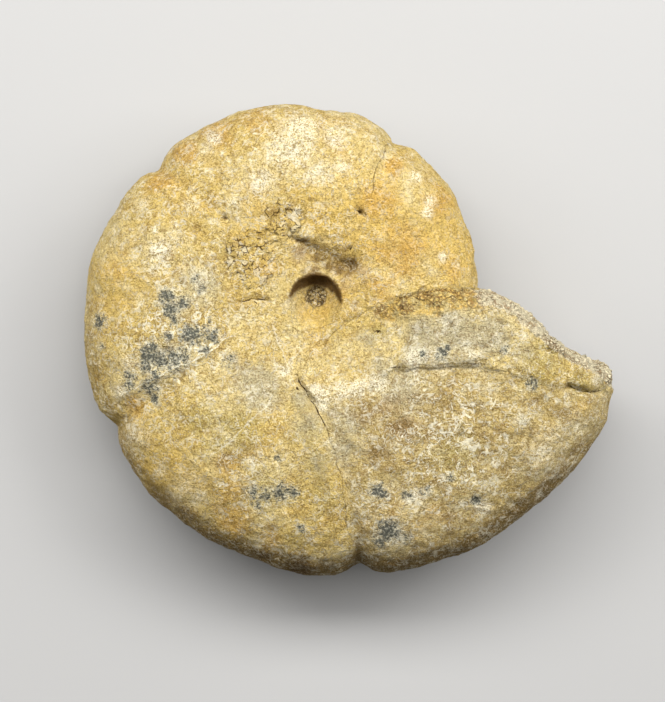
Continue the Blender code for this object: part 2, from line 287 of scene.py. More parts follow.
BLUE_SPOTS = (
    (-28.4, 0.2, 1.2, 1), (-27.7, -2.5, 1.2, 1), (-26.9, -4.8, 1, 0.8), (-25.4, -1.1, 1.2, 0.75),
    (-30.6, -1.3, 0.5, 0.7), (-23.6, -7.3, 1.6, 1), (-19.8, -7.5, 1.4, 0.8), (-21.1, -5.8, 0.6, 0.6),
    (-21.1, -10, 1.2, 0.6), (-31.7, -11.5, 1.8, 1), (-29.4, -12.1, 1.4, 0.9), (-30.9, -9.6, 1, 0.8),
    (-32.5, -13.3, 1.2, 0.8), (-30.6, -14.8, 1.2, 0.7), (-28.3, -7.5, 0.7, 0.7),
    (-26.5, -11.7, 1.8, 0.75), (-24.6, -11.7, 1, 0.6), (-27.7, -14.2, 1.2, 0.55),
    (-31.7, -17.7, 1.6, 0.7), (-30.9, -19.4, 1, 0.75), (-16.3, -12.1, 1.2, 0.5), (-41.9, -4.6, 1.2, 0.85),
    (-41.5, -9.6, 0.7, 0.6), (-35.8, -15.2, 1, 0.7), (-35.8, -17.1, 1, 0.8), (-22.9, 3.3, 0.8, 0.6),
    (-21.9, 1.4, 0.8, 0.6), (-20, -4.2, 0.8, 0.5), (-12.1, -37.5, 1.2, 0.75), (-9.6, -37.9, 1.2, 0.7),
    (-6.7, -37.5, 1.4, 0.8), (-4.2, -37.5, 1, 0.8), (-11.1, -40.4, 1, 0.6), (-6.9, -31, 0.6, 0.7),
    (-2.7, -44.4, 0.8, 0.7), (11.8, -37.1, 1.2, 0.85), (13.3, -37.9, 0.8, 0.7), (17.9, -38.3, 1, 0.7),
    (21.4, -37.1, 1, 0.6), (26, -34.6, 0.8, 0.7), (14.1, -45, 1.8, 1), (12.5, -46.9, 1.2, 0.7),
    (17.5, -46.5, 1, 0.6), (31, -39.2, 0.8, 0.85), (41.4, -16.7, 1, 0.7), (36.4, -10, 0.8, 0.7),
    (20.6, -10.8, 0.6, 0.9), (24.1, -10.8, 1, 0.9), (25.2, -9.8, 0.6, 0.9),
)
WHITE_PATCHES = (
    (-29.8, 9.1, 2.8, 0.9), (-26.9, 11.9, 2, 0.7), (-31.3, 5.6, 2, 0.6), (-4.8, 28.3, 5.2, 0.8),
    (0.6, 24.4, 3.6, 0.7), (-10.2, 22.5, 3.2, 0.6), (-2.9, 32.1, 3.6, 1), (4, 31, 3, 0.6),
    (-19.8, 31.2, 1.6, 0.9), (-21.1, 29.2, 1.6, 0.6), (19.4, 23.3, 1.4, 0.9), (22.3, 18.7, 1.4, 0.8),
    (21.6, 16.4, 1.4, 0.8), (24.6, 7.7, 1.2, 0.8), (40, -23.5, 1.8, 0.8), (32.5, -40.6, 1.8, 0.8),
    (43.9, -38.5, 0.8, 1), (-33.6, -0.6, 2, 0.5), (-22, 4.5, 3.6, 0.45), (-3.3, 16.6, 0.8, 1.2),
    (-36, -12.1, 2, 0.6), (-37.9, -18.3, 1.6, 0.8), (5, -17.9, 1.8, 1.1), (8.4, -17.6, 1.9, 1.1),
    (12.2, -16.8, 2, 1.3), (1.4, -18.9, 1.7, 1.5), (0, -17.6, 1, 1.4), (1.6, -21, 1.1, 1.2),
    (29.8, -12.1, 2.4, 0.6), (24.1, -12.1, 2.8, 0.6), (18.9, -11.7, 1.6, 1.6), (20.8, -10.9, 1.4, 1.2),
    (23.5, -11.4, 1.3, 0.9), (34.6, -1.1, 2, 0.7), (25, -5.4, 2.4, 0.6), (4.8, 25.4, 2.4, 0.6),
    (-15.4, 17.7, 2, 0.5), (-24, 17.7, 2, 0.5), (-33.6, 17.7, 2.4, 0.5), (54.5, -16, 1.6, 0.7),
    # (50, -24.5) lightens a slope that faces away from the key light: painted light
    (50, -24.5, 4, 0.4), (44, -29.5, 6, 0.5), (37, -1.5, 2, 0.8), (54.5, -12, 2.4, 0.8),
    (18.9, -38.5, 2, 0.7), (15.4, -45.8, 2.4, 0.6), (2.9, -27.5, 0.8, 0.5), (-29.8, -33.3, 2, 0.4),
    (-23.1, -39, 2.4, 0.5), (-35, -27, 4, 0.5), (-26, -37, 4, 0.45), (-16.3, -27.5, 1.6, 0.5),
    (-5.6, -14.4, 1.6, 0.7), (-7.5, -8.3, 1.6, 0.4), (28.9, -9.2, 2.8, 0.3),
)
ORANGE_PATCHES = (
    (-26, 28.4, 3.2, 1), (-30.3, 23, 3.2, 0.8), (-19.3, 32.6, 3.6, 0.8), (-11.6, 34.5, 3.6, 0.7),
    (2.9, 34.5, 4.4, 0.35), (15.4, 25.5, 2.4, 0.9), (26.4, 12.9, 4.4, 0.2), (27, 5.2, 3.6, 0.45),
    (24.1, 18.7, 3.6, 0.7), (-37.6, 5.2, 4.8, 0.35), (-40.5, -0.5, 3.6, 0.3), (-34.7, -20.8, 2.4, 0.8),
    (12.6, 18.7, 5, 0.7), (16.4, 9.1, 5.9, 0.8), (13, 2.5, 4, 0.6), (3.9, -0.5, 4, 0.5),
    (1, -9.2, 3.6, 0.4), (22.2, -42, 3.2, 0.5), (5.8, 28.4, 3.2, 0.4), (-8.7, 5.2, 4, 0.5),
    (-16.7, -32.2, 3.2, 1), (-12, -30, 3, 0.5), (-14, -37, 4, 0.9), (-15, -43, 5, 0.8),
    (-9, -47.5, 4, 0.7), (13.5, -42, 4, 0.5), (20.5, -44, 3, 0.5),
)
# Where the stone is clean and golden
GOLD_PATCHES = (
    (8, 15, 13, 1), (44, -28, 5, 0.6), (51, -22, 4, 0.5), (-9, 12, 9, 0.7), (25, 11, 9, 0.8),
    (28, 6.5, 4, 0.8), (-27, 22, 9, 0.4), (6, 2, 6, 0.6), (0, -2.5, 4.5, 0.9), (36.5, -22, 4, 0.3),
    (-29, -34, 8, 1), (-36, -25, 6, 0.8), (-38, 2, 8, 0.6),
)
OLIVE_PATCHES = (
    (-19, -24, 5, 0.5),
    (-19.2, -28.5, 5.2, 0.55), (-15.4, -33.3, 4.4, 0.5), (-22.1, -23.6, 4, 0.8), (-11.5, -42.9, 4, 0.5),
    (-4.8, -46.7, 4, 0.5), (5.8, -25.6, 5.2, 0.5), (27, -30.4, 5.9, 0.7), (35.6, -35.2, 4.8, 0.2),
    (39.5, -10.6, 4, 0.5), (51, -16, 2.6, 1), (-12.5, -19.8, 4, 0.5), (-15.5, -25.5, 6, 0.9),
    (-11, -37, 5, 0.9), (-29.8, -27.5, 4.8, 0.2), (12, -6.8, 3, 0.6), (43, -12, 6, 0.8),
    (-2.4, -20, 3.2, 0.7), (-1, -25.5, 3.8, 0.75), (0.6, -31.5, 3.8, 0.7), (1.8, -38, 3.8, 0.55),
)
GREY_PATCHES = (
    (-10.5, -17, 5, 1.2), (-1.6, -24.5, 4, 0.6), (4, -22.5, 3, 0.5), (0.4, -32, 4.4, 0.45),
    (21, -7.5, 4, 1.2), (27, -7, 4.5, 1.4), (34, -7.5, 4, 1.2), (16, -17.5, 5, 0.8),
    (13, -13.5, 3.5, 0.7), (6, -24, 4, 0.8), (5, -29.5, 4, 0.7), (-2, -19.5, 3, 0.6),
    (39.5, -10.5, 3, 0.6), (19, -11.2, 3, 1), (10, -8, 2.4, 0.7), (57, -15.5, 2.4, 0.8),
    (38, -2.5, 3, 0.8), (43, -6, 2.6, 0.6), (53, -11.5, 3, 0.7), (-27, -1.5, 5, 0.6), (-22, 2, 5, 0.8),
    (-27.5, -11.5, 6, 0.6), (-16, -13, 4, 0.5),
)
PINK_PATCHES = (
    (-3.2, 8.4, 1.8, 0.9), (-0.6, 5.6, 2.2, 0.7), (4.2, 5.2, 1.6, 0.5), (9.4, 5.2, 2, 0.7),
    (7.7, -1.5, 1.6, 0.6), (6.4, 2.8, 2.4, 0.6), (13.5, -21.8, 3.2, 0.6), (16.4, -25.6, 3.6, 0.5),
)
# Brownish stains, and painted shade: the patches along the trough, from (-3.2, 11) to (6.8, 5.3), are partly
# painted shade on its upper wall and partly a brownish stain; those at (0, 5.2), (-2, 4.6) and (2.4, 4.4) are
# painted shade just above the pit's upper rim, and those at (8.8, 16.5) and (-17.3, 15.2) painted shade in
# small pits
BROWN_AND_SHADE_PATCHES = (
    (-3.2, 11, 0.7, 0.9), (-1.8, 10.7, 1.3, 0.8), (0.2, 10, 1.6, 0.45), (1.9, 9, 2, 0.52),
    (3.8, 7.9, 2.2, 0.6), (5.6, 7, 2.1, 0.65), (7.2, 6.4, 1.7, 0.92), (-0.8, 8.8, 1.4, 0.55),
    (5.6, 8.8, 1.3, 0.5), (0.8, 7.6, 1.9, 0.8), (2.6, 6.4, 2, 0.82), (4.6, 5.7, 1.7, 0.75),
    (6.8, 5.3, 1.6, 0.6), (-3, -52.5, 3.5, 0.9), (-10, -50.5, 3, 0.6), (-17.5, -31.5, 2.6, 0.5),
    (-13, -29.5, 2, 0.4), (-8.5, -44.5, 2, 0.45), (-1.2, -46.5, 1.6, 0.5), (0, 5.2, 1.6, 0.7),
    (-2, 4.6, 1.2, 0.6), (2.4, 4.4, 1.2, 0.5), (15.4, -23.7, 4.6, 0.7), (9.5, -22, 3.6, 0.7),
    (12.5, -29, 4, 0.6), (5, -22.5, 2, 0.4), (8.8, 16.5, 0.6, 1), (-17.3, 15.2, 0.5, 0.8),
    (21, -21, 5, 0.5), (26.1, -42, 1.6, 0.7), (21.2, -42.6, 2, 0.5), (-16.4, 8.1, 3.2, 0.4),
    (-8, 15.8, 2.6, 0.5), (-5, 17, 2.4, 0.5),
)
# Where the broken stone's gaps get painted shade, as under its raised crumbs
GAP_SHADE_PATCHES = (
    (21.4, 1.7, 1.5, 1), (16.7, -1.6, 1.7, 1), (18.9, -0.4, 1.2, 0.6), (23.8, -0.2, 1.9, 0.9),
    (27, -0.4, 1.2, 0.3), (31.5, -1.6, 1.2, 0.4), (12.2, -3.4, 1, 0.4), (45.6, -8.8, 1.2, 0.6),
)
# Where the skin is scaly with small shallow pits
SCALY_PATCHES = (
    (-12.5, 8.7, 5.5, 1), (-6.3, 15.2, 4, 1), (-12, 4.6, 3, 1),
)
# Where the grain and the mottling are coarser
ROUGH_PATCHES = (
    (26, -28, 20, 0.8), (12, -40, 9, 0.7), (-16, -34, 15, 0.6), (-27, -8, 13, 1), (-30, 8, 9, 0.8),
    (-12, 7, 8, 0.6), (-4, 27, 9, 0.6), (3, 10, 7, 0.7),
)
# Where they are finer
SMOOTH_PATCHES = (
    (-1.5, -22, 5, 0.8), (1.5, -33, 4.5, 0.7), (-40, 4, 8, 0.6), (20, 14, 13, 0.7), (27, 4, 6, 0.5),
    (7, -8, 6, 0.5), (-26, -40, 9, 0.5), (0, -1, 7, 0.7),
)
LEAST_ROUGH = 0.45
LOWER_ROUGH = 0.7
# The patches and spots that tint the stone
PATCHES = {
    "blue": BLUE_SPOTS,
    "white": WHITE_PATCHES,
    "orange": ORANGE_PATCHES,
    "olive": OLIVE_PATCHES,
    "gold": GOLD_PATCHES,
    "pink": PINK_PATCHES,
    "grey": GREY_PATCHES,
    "brown_and_shade": BROWN_AND_SHADE_PATCHES,
}

# The venter is browner than the flanks, and darker with painted shade on its side away from the key light,
# below these heights, as (angle, share)
VENTER_SHADE_HEIGHTS = (6.0, 11.0)
VENTER_SHADE_SHARES = (
    (-180, 0.2), (-150, 0.3), (-135, 0.5), (-110, 1), (-60, 1), (-40, 0.8), (-20, 0), (40, 0), (70, 0.1),
    (130, 0.15), (180, 0.1),
)
PANEL_REACH = 9.0  # the distance to the panel's edge is only followed this far
# Thin dark cracks, some dark lines of painted shade, and thin pale veins, drawn by the material: strength,
# path
CRACKS_AND_SHADOW_LINES = (
    (1.0, NICK),
    (0.4, ((1.2, -10.4), (2.3, -8.3), (4.0, -6.6), (5.8, -5.0))),
    (0.4, ((5.4, -5.2), (7.2, -4.4), (8.6, -3.5), (10.3, -2.5), (11.4, -1.9))),
    # Along the crease: a dark line of painted shadow under its raised upper side
    (0.6, ((14.0, -13.8), (16.5, -13.5), (20.0, -13.0), (25.0, -12.8), (30.0, -12.9), (34.0, -13.4))),
    (1.0, ((7.6, 17.0), (8.9, 16.6), (10.3, 15.7))),
    (0.6, ((15.4, -1.3), (18.3, 0.2), (20.2, 1.6), (22.1, 2.3))),
    (0.5, FLAKE_EDGE),
    (0.6, ((-18.3, 24.4), (-17.5, 23.3), (-17.1, 22.1), (-15.8, 21.0))),
    (1.0, ((48.6, -17.4), (50.6, -17.8), (52.9, -18.1), (56.4, -18.2))),
    (0.5, ((-18.6, -8.4), (-17.5, -7.4), (-16.6, -6.6))),
    (1.2, ((-3.4, -15.4), (-3.0, -16.1), (-1.7, -18.4), (-0.3, -20.7), (1.0, -23.0), (2.0, -25.4))),
    # A dark mark in a small pit: painted shade in it
    (1.4, ((27.4, -26.4), (27.9, -26.5), (28.4, -26.7))),
    (1.2, ((11.4, -6.4), (12.0, -6.8), (12.8, -6.5))),
    # These three are dark marks in small pits: painted shade in them
    (1.2, ((6.3, 9.8), (6.9, 9.4), (7.4, 10.0))),
    (1.1, ((-3.3, 16.1), (-2.7, 15.9), (-2.2, 16.6))),
    (0.9, ((-17.9, 15.3), (-17.3, 15.1), (-16.8, 15.4))),
    (0.5, ((1.4, -23.8), (2.6, -26.4), (3.8, -29.8), (4.9, -33.6), (5.5, -38.2), (6.2, -43.4), (7.4, -48.4))),
)
VEINS = (
    (0.5, ((-20.4, -30.8), (-18.3, -29.2), (-15.6, -27.1), (-12.5, -24.0), (-9.6, -21.1), (-7.5, -18.1))),
    (0.8, ((-12.3, -30.8), (-11.7, -31.5), (-11.1, -32.5))),
    (0.4, PALE_RIDGE),
    (0.9, ((-37.9, -18.6), (-33.6, -17.1), (-27.9, -14.2), (-21.1, -11.0), (-13.4, -6.0))),
    (0.7, ((20.2, -37.1), (23.1, -36.0), (26.0, -34.8))),
)
LINE_REACH = (0.96, 1.6)  # a line's distance is followed this far to its sides
LINE_FADE = 0.5  # a line fades out at its ends over this share of its first and last stretch
WARP = 0.45  # lines wander this far from their paths
WARP_SIZE = 2.6
WARP_SEED = 1795472237  # without it noise_vector would differ from run to run

# The lower flank's markings are scattered: how many, least and largest radius
SCATTER_SEED = 7
SCATTER_CENTRE = (0.0, -4.0)
SCATTER_REACH = 40.0
SCATTERED = {
    "blue": (26, 0.6, 1.6),
    "white": (34, 1.2, 4.2),
    "orange": (16, 2.4, 5.5),
    "olive": (14, 3.5, 6.0),
}
SCATTERED_STRENGTH = (0.5, 1.0)

# ---- Mesh size

TABLE_COLUMNS = 360
OUTLINE_SAMPLES = 7200
RAY_SAMPLES = 700
UPPER_ROWS = 168
LOWER_ROWS = 84
UPPER_SPACING = 0.38
LOWER_SPACING = 0.70
RIM_SPACING = 0.45
COLUMN_BLENDING = 3  # columns either way over which the rings are evened out
LEAST_RING = 7  # points
BOX_CLEARANCE = 0.01  # the skin stays this far inside the solid's box


def smoothstep(low, high, value):
    t = np.clip((value - low) / (high - low), 0.0, 1.0)
    return t * t * (3.0 - 2.0 * t)


def spot(radius, angle):
    """x and y of places given by radius and angle."""
    return radius * np.cos(np.radians(angle)), radius * np.sin(np.radians(angle))


def away(x, y, centre):
    """Distance of places from a centre."""
    return np.hypot(x - centre[0], y - centre[1])


def bell(offset, behind, ahead):
    """1 at offset 0, falling away with one width on the negative side and another on the positive side."""
    width = np.where(offset < 0.0, behind, ahead)
    return np.exp(-(np.abs(offset / width) ** NOTCH_POWER))


def follow(x, y, path):
    """Distance to an open path, whether that is on its left, and the place along it, counted in points."""
    best = np.full(np.shape(x), np.inf)
    left = np.zeros(np.shape(x), bool)
    place = np.zeros(np.shape(x))
    for index, (start, end) in enumerate(zip(path[:-1], path[1:])):
        dx, dy = end[0] - start[0], end[1] - start[1]
        px, py = x - start[0], y - start[1]
        t = np.clip((px * dx + py * dy) / (dx * dx + dy * dy), 0.0, 1.0)
        distance = np.hypot(px - t * dx, py - t * dy)
        closer = distance < best
        best = np.where(closer, distance, best)
        left = np.where(closer, dx * py - dy * px > 0.0, left)
        place = np.where(closer, index + t, place)
    return best, left, place


def along(path, column, place):
    """One value of a path's points, read between them."""
    return np.interp(place, np.arange(len(path)), [point[column] for point in path])


def inside(x, y, corners):
    """True where (x, y) is inside the polygon."""
    odd = np.zeros(np.shape(x), bool)
    for (ax, ay), (bx, by) in zip(corners, corners[1:] + corners[:1]):
        crosses = (ay > y) != (by > y)
        slope = (bx - ax) / (by - ay if by != ay else 1e-9)
        odd ^= crosses & (x < ax + (y - ay) * slope)
    return odd


def half_width(turn):
    return START_HALF_WIDTH * (END_HALF_WIDTH / START_HALF_WIDTH) ** (turn / END_TURN)


def venter_radius(turn):
    """Centre to venter: the growth spiral, less the constrictions' notches and the loss at the mouth."""
    radius = START_RADIUS * EXPANSION ** (turn / 360.0)
    for at, depth, _, behind, ahead, _ in CONSTRICTIONS:
        radius = radius - depth * bell(turn - at, behind, ahead)
    for height, waves, phase in VENTER_SWELLS:
        radius = radius + height * np.sin(np.radians(turn) * waves + phase)
    turns, losses = zip(*TIP_LOSS)
    return radius - np.interp(turn, turns, losses)


def sheet(radius, turn):
    """Height of a whorl's flank over the median plane."""
    section = np.clip(1.0 - (radius / venter_radius(turn)) ** SECTION_POWER, 0.0, 1.0) ** SECTION_ROOT
    funnel = FUNNEL_HEIGHT + FUNNEL_SLOPE * radius
    flank = smoothstep(FUNNEL_INNER_RADIUS, FUNNEL_OUTER_RADIUS, radius)
    return (funnel + (half_width(turn) - funnel) * flank) * section


def break_angle(line, radius):
    radii, angles = zip(*line)
    return np.interp(radius, radii, angles)


def outline_radius(angle):
    """Radius of the whole outline at an angle from -180 to 180 degrees."""
    foot = [point for point in BREAK_FOOT if point[0] > OUTLINE_FOOT_RADIUS]
    radii, angles = zip(*reversed(foot))
    broken = np.interp(angle, angles, radii)
    grown = venter_radius(np.where(angle < angles[-1], angle + 360.0, angle))
    return np.where((angle > angles[0]) & (angle < angles[-1]), broken, grown)


def break_climb(radius, angle):
    """How far up the broken face a point is: 0 at its foot and beyond, 1 at its lip and on the last whorl."""
    foot, lip = break_angle(BREAK_FOOT, radius), break_angle(BREAK_LIP, radius)
    return np.clip((foot - angle) / (foot - lip), 0.0, 1.0)


def body_height(radius, angle):
    """Height of the bare coil: the last whorl, the whorl under it, and the broken face between them."""
    face = (1.0 - (1.0 - break_climb(radius, angle)) ** BREAK_ROUNDING) ** (1.0 / BREAK_ROUNDING)
    under = sheet(radius, angle)
    last = sheet(radius, np.where(angle < BREAK_SIDE[1], angle + 360.0, angle))
    broken = (angle > BREAK_SIDE[0]) & (angle < BREAK_SIDE[1])
    return np.where(broken, under + (last - under) * face, last)


def furrows(radius, angle):
    """Depth of the constrictions on the flank."""
    turn = np.where(angle < SEAM_TURN, angle + 360.0, angle)
    share = np.clip(radius / venter_radius(turn), 0.0, 1.0)
    depth = np.zeros(np.shape(radius))
    for at, _, on_flank, behind, ahead, sweep in CONSTRICTIONS:
        line = at - sweep * (1.0 - share) ** SWEEP_POWER
        cut = bell(turn - line, behind * FLANK_FURROW_WIDTH, ahead * FLANK_FURROW_WIDTH)
        depth = np.maximum(depth, on_flank * cut)
    return depth * smoothstep(FURROW_INNER_RADIUS, FURROW_OUTER_RADIUS, radius)


def pit(x, y):
    """The umbilicus: a steep step, a bowl, and a hole in the bowl's floor."""
    reach = away(x, y, PIT_CENTRE)
    upwards = (y - PIT_CENTRE[1]) / np.maximum(reach, LEAST_REACH)
    rim = PIT_RIM_RADIUS - PIT_STRETCH * np.minimum(upwards, 0.0)
    step = WALL_DEPTH + WALL_LEAN * upwards
    wall = step * (1.0 - smoothstep(-WALL_WIDTH, 0.0, reach - rim))
    bowl = (PIT_DEPTH - step) * (1.0 - smoothstep(PIT_FLOOR_RADIUS, rim, reach))
    hole = HOLE_DEPTH * (1.0 - smoothstep(*HOLE_EDGE, away(x, y, HOLE_CENTRE)))
    return wall + bowl + hole


def panel(x, y):
    """Drop of the sunken panel: sharp at its edge, easing off inwards."""
    depth, _, place = follow(x, y, PANEL_EDGE)
    edge = smoothstep(0.0, along(PANEL_EDGE, 3, place), depth) * along(PANEL_EDGE, 2, place)
    return edge * np.exp(-depth / PANEL_RECOVERY) * inside(x, y, PANEL_OUTLINE)


def trough(x, y):
    distance, left, place = follow(x, y, TROUGH)
    width = np.where(left, along(TROUGH, 3, place), along(TROUGH, 4, place))
    return along(TROUGH, 2, place) * np.exp(-((distance / width) ** 2))


def waves(x, y, kinds, side):
    """A sum of plane waves, with other phases on the lower side."""
    total = np.zeros(np.shape(x))
    for height, wavelength, direction, phase in kinds:
        across = x * math.cos(math.radians(direction)) + y * math.sin(math.radians(direction))
        total += height * np.sin(TWO_PI * across / wavelength + phase + side)
    return total


def break_lumps(x, y, radius, angle, side):
    """Lumps of the broken face, highest half way up it."""
    climb = break_climb(radius, angle)
    on_face = 4.0 * climb * (1.0 - climb) * (angle > BREAK_SIDE[0]) * (angle < BREAK_SIDE[1])
    return waves(x, y, BREAK_LUMPS, side) * on_face * smoothstep(*LUMPS_FADE_IN, radius)


def from_ends(path, place):
    """0 at a path's ends and 1 away from them."""
    last = len(path) - 1.0
    return smoothstep(0.0, LINE_FADE, place) * smoothstep(0.0, LINE_FADE, last - place)


def warp(x, y):
    """Places moved about a little, so that lines drawn by them wander as cracks do."""
    noise.seed_set(WARP_SEED)
    spots = zip(x.ravel(), y.ravel())
    moved = np.array([noise.noise_vector(Vector((px, py, 0.0)) / WARP_SIZE) for px, py in spots])
    return x + WARP * moved[:, 0].reshape(x.shape), y + WARP * moved[:, 1].reshape(x.shape)


def fine_cuts(x, y):
    """Depth of the small cracks, ridges, steps and pits of the upper flank."""
    depth = np.zeros(np.shape(x))
    for cut, width, path in GROOVES:
        depth += cut * np.exp(-((follow(x, y, path)[0] / width) ** 2))
    for height, recovery, path in STEPS:
        distance, left, place = follow(x, y, path)
        edge = np.where(left, 1.0, -1.0) * np.tanh(2.0 * distance / STEP_WIDTH) * np.exp(-distance / recovery)
        depth -= 0.5 * height * edge * from_ends(path, place)
    for px, py, radius, cut in PITS:
        depth += cut * np.exp(-((away(x, y, (px, py)) / radius) ** 2))
    return depth


def surface_height(radius, angle, side):
    """Signed height of the surface: side 1 is the upper flank and -1 the lower."""
    x, y = spot(radius, angle)
    body = body_height(radius, angle)
    relief = waves(x, y, SWELLS, side) + break_lumps(x, y, radius, angle, side)
    relief = relief - furrows(radius, angle) - pit(x, y)
    if side > 0:
        x, y = warp(x, y)
        relief = relief - panel(x, y) - trough(x, y) - fine_cuts(x, y)
    thickness = body * (1.0 if side > 0 else HIDDEN_SIDE_WIDTH)
    return side * (thickness + relief * smoothstep(0.0, RELIEF_FADE, body))


# ---- The skin's mesh: rings of points round the coil, the same distance apart everywhere


def table_angles():
    return np.linspace(-180.0, 180.0, TABLE_COLUMNS + 1)[:-1]


def ring_table(side, rows):
    """Every row's share of the outline's radius in every column, from rim to centre, evenly spaced."""
    angle = table_angles()
    share = np.cos(np.linspace(0.0, math.pi / 2.0, RAY_SAMPLES))
    radius = outline_radius(angle)[:, None] * share[None, :]
    height = surface_height(radius, np.broadcast_to(angle[:, None], radius.shape), side)
    height[:, 0] = 0.0
    stretch = np.hypot(np.diff(radius, axis=1), np.diff(height, axis=1))
    length = np.concatenate((np.zeros((TABLE_COLUMNS, 1)), np.cumsum(stretch, axis=1)), axis=1)
    shares = np.array([np.interp(np.linspace(0.0, way[-1], rows + 1), way, share) for way in length])
    even = sum(np.roll(shares, step, axis=0) for step in range(-COLUMN_BLENDING, COLUMN_BLENDING + 1))
    return even / (2 * COLUMN_BLENDING + 1)


def ring_points(shares, spacing, phase):
    """Angles and radii of one ring, evenly spaced along it."""
    ends = np.append(table_angles(), 180.0)
    share = np.append(shares, shares[0])
    fine = np.linspace(-180.0, 180.0, OUTLINE_SAMPLES + 1)
    radius = outline_radius(fine) * np.interp(fine, ends, share)
    x, y = spot(radius, fine)
    length = np.concatenate(([0.0], np.cumsum(np.hypot(np.diff(x), np.diff(y)))))
    count = max(LEAST_RING, round(length[-1] / spacing))
    angles = np.interp((np.arange(count) + phase) / count * length[-1], length, fine)
    return angles, outline_radius(angles) * np.interp(angles, ends, share)


def zip_rings(outer, outer_start, inner, inner_start):
    """Triangles between two rings of ascending angles, anticlockwise from above."""
    a, b = len(outer), len(inner)
    a_next = (np.arange(a) + 1) % a
    b_next = (np.arange(b) + 1) % b
    b_now = (np.searchsorted(inner, outer[a_next], side="left") - 1) % b
    a_now = (np.searchsorted(outer, inner[b_next], side="right") - 1) % a
    from_outer = np.stack((outer_start + np.arange(a), outer_start + a_next, inner_start + b_now), axis=1)
    from_inner = np.stack((inner_start + np.arange(b), outer_start + a_now, inner_start + b_next), axis=1)
    return np.vstack((from_outer, from_inner))


def skin_side(side, rows, spacing, rim, first):
    """Points and triangles of one side, without its rim ring, whose points are numbered from 0."""
    shares = ring_table(side, rows)
    points, triangles = [], []
    outer, outer_start, start = rim, 0, first
    for row in range(1, rows):
        angles, radii = ring_points(shares[:, row], spacing, 0.5 * (row % 2))
        points.append(np.stack((angles, radii, np.full(len(angles), side)), axis=1))
        triangles.append(zip_rings(outer, outer_start, angles, start))
        outer, outer_start, start = angles, start, start + len(angles)
    points.append(np.array([[0.0, 0.0, side]]))
    ring = outer_start + np.arange(len(outer))
    triangles.append(np.stack((ring, np.roll(ring, -1), np.full(len(outer), start)), axis=1))
    triangles = np.vstack(triangles)
    return np.vstack(points), triangles if side > 0 else triangles[:, ::-1]


def bare_skin():
    """Places of the skin's points before the fine relief, their side, and the triangles."""
    rim, radii = ring_points(np.ones(TABLE_COLUMNS), RIM_SPACING, 0.0)
    points = [np.stack((rim, radii, np.zeros(len(rim))), axis=1)]
    upper, upper_faces = skin_side(1.0, UPPER_ROWS, UPPER_SPACING, rim, len(rim))
    lower, lower_faces = skin_side(-1.0, LOWER_ROWS, LOWER_SPACING, rim, len(rim) + len(upper))
    angle, radius, side = np.vstack(points + [upper, lower]).T
    x, y = spot(radius, angle)
    height = np.where(side > 0, surface_height(radius, angle, 1.0), surface_height(radius, angle, -1.0))
    height[side == 0] = 0.0
    return np.stack((x, y, height), axis=1), angle, radius, side, np.vstack((upper_faces, lower_faces))


def point_normals(points, triangles):
    a, b, c = (points[triangles[:, corner]] for corner in range(3))
    across = np.cross(b - a, c - a)
    normals = np.zeros_like(points)
    for corner in range(3):
        np.add.at(normals, triangles[:, corner], across)
    return normals / np.linalg.norm(normals, axis=1)[:, None]


def lumps(points, size, seed):
    """Smooth noise, about -1 to 1, with features of the given size."""
    shift = Vector([seed * way for way in LUMP_SHIFT])
    spots = (Vector(point) / size + shift for point in points)
    return np.array([noise.fractal(at, LUMP_ROUGHNESS, 2.0, LUMP_OCTAVES) for at in spots])


def grains(points, size, seed):
    """Rounded grains: 1 at a grain's middle, 0 between grains."""
    shift = Vector([seed * way for way in GRAIN_SHIFT])
    near = [noise.voronoi(Vector(point) / size + shift)[0] for point in points]
    return np.array([min(1.0, GRAIN_STEEPNESS * (second - first)) for first, second, *_ in near])


def crust_mask(radius, angle, points):
    """1 on the rough broken stone."""
    climb = break_climb(radius, angle)
    ragged = climb + CRUST_RAGGED * lumps(points, CRUST_RAGGED_SIZE, RAGGED_SEED)
    rough = smoothstep(*CRUST_FOOT, climb) * (1.0 - smoothstep(*CRUST_LIP, ragged))
    return rough * smoothstep(*CRUST_RADII, radius) * (np.abs(angle) < BREAK_SIDE[1])


def rind_mask(radius, angle):
    """1 where the broken face turns over into the fossil's outline."""
    climb = break_climb(radius, angle)
    outer = smoothstep(*RIND_RADII, radius)
    return outer * (1.0 - smoothstep(*RIND_CLIMB, climb)) * (np.abs(angle) < BREAK_SIDE[1])


def fine_relief(points, crust):
    """Height of the fine relief along the surface's normals, and how low each point lies between the broken
    stone's grains, for painted shade there.
    """
    height, crevice_shade = np.zeros(len(points)), np.zeros(len(points))
    for index, (rise, size) in enumerate(FLANK_RELIEF):
        height += rise * lumps(points, size, FLANK_SEED + index)
    broken = np.flatnonzero(crust > 0.01)
    spots = points[broken]
    grain = grains(spots, CRUST_GRAIN_SIZE, GRAIN_SEED)
    crevice_shade[broken] = (1.0 - grain) * crust[broken]
    rough = CRUST_GRAIN_HEIGHT * (grain - 0.5)
    for index, (rise, size) in enumerate(CRUST_RELIEF):
        rough += rise * lumps(spots, size, CRUST_SEED + index)
    height[broken] += rough * crust[broken]
    return height, crevice_shade


def soft(reach):
    return np.exp(-(reach**2))


def cone(reach):
    """Falls off evenly to 0 at twice the radius."""
    return np.clip(1.0 - 0.5 * reach, 0.0, 1.0)


def spread(x, y, patches, falloff=soft):
    """The strongest of some round patches at each place."""
    shown = np.zeros(len(x))
    for px, py, radius, strength in patches:
        shown = np.maximum(shown, strength * falloff(away(x, y, (px, py)) / radius))
    return shown


